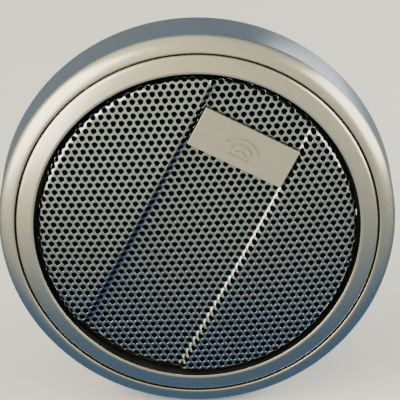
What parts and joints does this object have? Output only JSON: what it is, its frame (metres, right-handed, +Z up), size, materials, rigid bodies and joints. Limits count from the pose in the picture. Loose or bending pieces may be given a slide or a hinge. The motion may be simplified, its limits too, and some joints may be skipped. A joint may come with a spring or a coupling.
{
  "type": "car tweeter",
  "caption": "Round panel-mount car tweeter: painted trim ring, domed perforated grille with a straight channel and a plain badge, soft dome and cup with blade terminals.",
  "frame": {"origin": "on the driver's axis, in the plane where the gasket's back meets the panel", "axes": "+Y into the panel along the driver's axis, so the face looks along -Y; +X to the right seen from the front; +Z up"},
  "size_m": [0.076, 0.0388, 0.076],
  "materials": {
    "champagne_paint": "champagne metallic lacquer on moulded ABS",
    "grille_steel": "perforated steel sheet with a silver metallic coat",
    "black_abs": "moulded, fine texture",
    "black_cloth": "open-weave acoustic cloth",
    "foam": "closed-cell foam",
    "silk": "doped silk",
    "felt": "wool felt",
    "kapton": "polyimide film",
    "copper": "bright copper",
    "ferrite": "sintered, ground faces",
    "zinc_steel": "bright zinc plate",
    "tinned_brass": "tin plate",
    "phenolic": "paper laminate",
    "sleeve_blue": "shrink sleeve",
    "wire_red": "PVC insulation",
    "wire_black": "PVC insulation"
  },
  "bodies": {
    "base": {"housing": "black_abs", "panel_gasket": "foam", "driver_faceplate": "black_abs", "faceplate_screw_1": "zinc_steel", "faceplate_screw_2": "zinc_steel", "faceplate_screw_3": "zinc_steel", "faceplate_screw_4": "zinc_steel", "motor_screw_1": "zinc_steel", "motor_screw_2": "zinc_steel", "motor_screw_3": "zinc_steel", "top_plate": "zinc_steel", "ring_magnet": "ferrite", "pole_yoke": "zinc_steel", "copper_cap": "copper", "pole_felt": "felt", "diaphragm_ring": "black_abs", "solder_lug_positive": "tinned_brass", "solder_lug_negative": "tinned_brass", "surround": "silk", "lead_out_positive": "copper", "lead_out_negative": "copper", "terminal_board": "phenolic", "terminal_positive": "tinned_brass", "terminal_negative": "tinned_brass", "terminal_rivet_1": "tinned_brass", "terminal_rivet_2": "tinned_brass", "blocking_capacitor": "sleeve_blue", "capacitor_front_lead": "tinned_brass", "wire_positive": "wire_red", "wire_negative": "wire_black", "rear_felt": "felt"},
    "diaphragm": {"dome": "silk", "coil_former": "kapton", "voice_coil": "copper"},
    "cover": {"trim_ring": "champagne_paint", "grille_frame": "champagne_paint", "grille": "grille_steel", "acoustic_cloth": "black_cloth", "cloth_ring": "black_abs", "badge": "champagne_paint", "badge_push_nut_1": "zinc_steel", "badge_push_nut_2": "zinc_steel"}
  },
  "joints": [
    {"name": "diaphragm_travel", "type": "slide", "parent": "base", "child": "diaphragm", "axis": [0, -1, 0], "range_m": [-0.0004, 0.0004], "stiffness_N_per_m": 200, "deforming": ["surround", "lead_out_positive", "lead_out_negative"]},
    {"name": "cover_pull", "type": "slide", "parent": "base", "child": "cover", "axis": [0, -1, 0], "range_m": [0, 0.025]}
  ]
}
